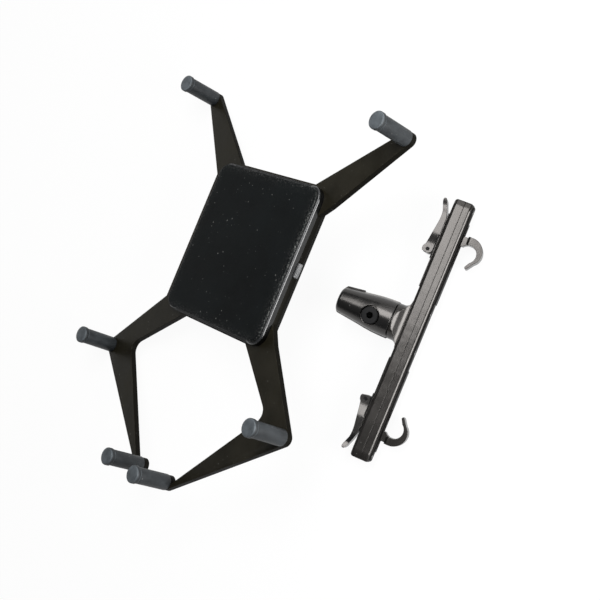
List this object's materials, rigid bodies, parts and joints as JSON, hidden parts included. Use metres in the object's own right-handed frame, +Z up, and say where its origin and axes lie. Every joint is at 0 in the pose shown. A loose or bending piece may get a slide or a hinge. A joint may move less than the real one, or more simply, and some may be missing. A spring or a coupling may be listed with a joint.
{
  "type": "headrest tablet mount",
  "caption": "Tablet holder with rubber-sleeved fingers on a bent-arm frame, and the headrest bar clamp with cam levers, post hooks and a ball-gripping nose that carries it.",
  "frame": {"origin": "middle of the bottom of the whole set's bounding box, on the floor", "axes": "+Z up from the floor, +Y along the clamp bar and up the tablet frame, +X from the frame towards the clamp's hooks"},
  "size_m": [0.2474, 0.2636, 0.1025],
  "materials": {
    "satin_black_plastic": "satin moulded black plastic with a faint brown cast",
    "smooth_black_plastic": "smooth black plastic with broad soft highlights",
    "edge_grey_plastic": "satin dark grey plastic",
    "pad_rubber": "matte blue-black rubber with fine dust",
    "sleeve_rubber": "matte slate-grey rubber",
    "grey_plastic": "mid-grey moulded plastic",
    "gloss_black_plastic": "smooth black plastic with soft highlights",
    "dark_steel": "blackened steel",
    "steel": "bright plated steel"
  },
  "bodies": {
    "frame_and_bar": {"spider_frame": "satin_black_plastic", "front_plate": "edge_grey_plastic", "grip_pad": "pad_rubber", "finger_sleeve_top_left": "sleeve_rubber", "finger_sleeve_top_right": "sleeve_rubber", "finger_sleeve_side_left": "sleeve_rubber", "finger_sleeve_side_right": "sleeve_rubber", "finger_sleeve_bottom_left": "sleeve_rubber", "finger_sleeve_bottom_right": "sleeve_rubber", "back_cover": "satin_black_plastic", "cover_screws": "steel", "adapter_plate": "satin_black_plastic", "ball_stud": "dark_steel", "stud_screw": "steel", "button_spring": "steel", "bar_front_shell": "smooth_black_plastic", "bar_back_shell": "smooth_black_plastic", "shell_screws": "steel"},
    "release_button": {"release_button": "grey_plastic"},
    "jaw_head": {"near_jaw": "gloss_black_plastic", "far_jaw": "gloss_black_plastic", "clamp_nut": "steel"},
    "jaw_screw": {"clamp_screw": "dark_steel"},
    "upper_carriage": {"upper_carriage": "grey_plastic", "upper_cam_plate": "dark_steel"},
    "upper_hook": {"upper_hook": "smooth_black_plastic", "upper_lever_pin": "dark_steel"},
    "upper_lever": {"upper_lever": "gloss_black_plastic"},
    "lower_carriage": {"lower_carriage": "grey_plastic", "lower_cam_plate": "dark_steel"},
    "lower_hook": {"lower_hook": "smooth_black_plastic", "lower_lever_pin": "dark_steel"},
    "lower_lever": {"lower_lever": "gloss_black_plastic"}
  },
  "joints": [
    {"name": "release_button_press", "type": "slide", "parent": "frame_and_bar", "child": "release_button", "axis": [-0.9365, 0, -0.3506], "range_m": [0, 0.0015], "stiffness_N_per_m": 400, "springref_m": -0.002},
    {"name": "jaw_head_swivel", "type": "hinge", "parent": "frame_and_bar", "child": "jaw_head", "pos_m": [0.07224, 0.0254, 0.01539], "axis": [-0.9752, 0, 0.2213], "range_deg": [-90, 90]},
    {"name": "jaw_screw_turn", "type": "hinge", "parent": "jaw_head", "child": "jaw_screw", "pos_m": [0.07469, 0.0226, 0.01893], "axis": [0.2213, 0, 0.9752], "continuous": true},
    {"name": "upper_carriage_slide", "type": "slide", "parent": "frame_and_bar", "child": "upper_carriage", "axis": [0, 1, 0], "range_m": [-0.014, 0.006]},
    {"name": "upper_hook_draw", "type": "slide", "parent": "upper_carriage", "child": "upper_hook", "axis": [0.9752, 0, -0.2213], "range_m": [0, 0.0008001]},
    {"name": "upper_lever_turn", "type": "hinge", "parent": "upper_hook", "child": "upper_lever", "pos_m": [0.09028, 0.07545, 0.01129], "axis": [0.2213, 0, 0.9752], "range_deg": [0, 95]},
    {"name": "lower_carriage_slide", "type": "slide", "parent": "frame_and_bar", "child": "lower_carriage", "axis": [0, -1, 0], "range_m": [-0.014, 0.006]},
    {"name": "lower_hook_draw", "type": "slide", "parent": "lower_carriage", "child": "lower_hook", "axis": [0.9752, 0, -0.2213], "range_m": [0, 0.0008001]},
    {"name": "lower_lever_turn", "type": "hinge", "parent": "lower_hook", "child": "lower_lever", "pos_m": [0.09028, -0.02665, 0.01129], "axis": [-0.2213, 0, -0.9752], "range_deg": [0, 95]}
  ],
  "couplings": [
    {"joint": "upper_hook_draw", "follows": "upper_lever_turn", "m_per_rad": 0.00048249},
    {"joint": "lower_hook_draw", "follows": "lower_lever_turn", "m_per_rad": 0.00048249}
  ]
}
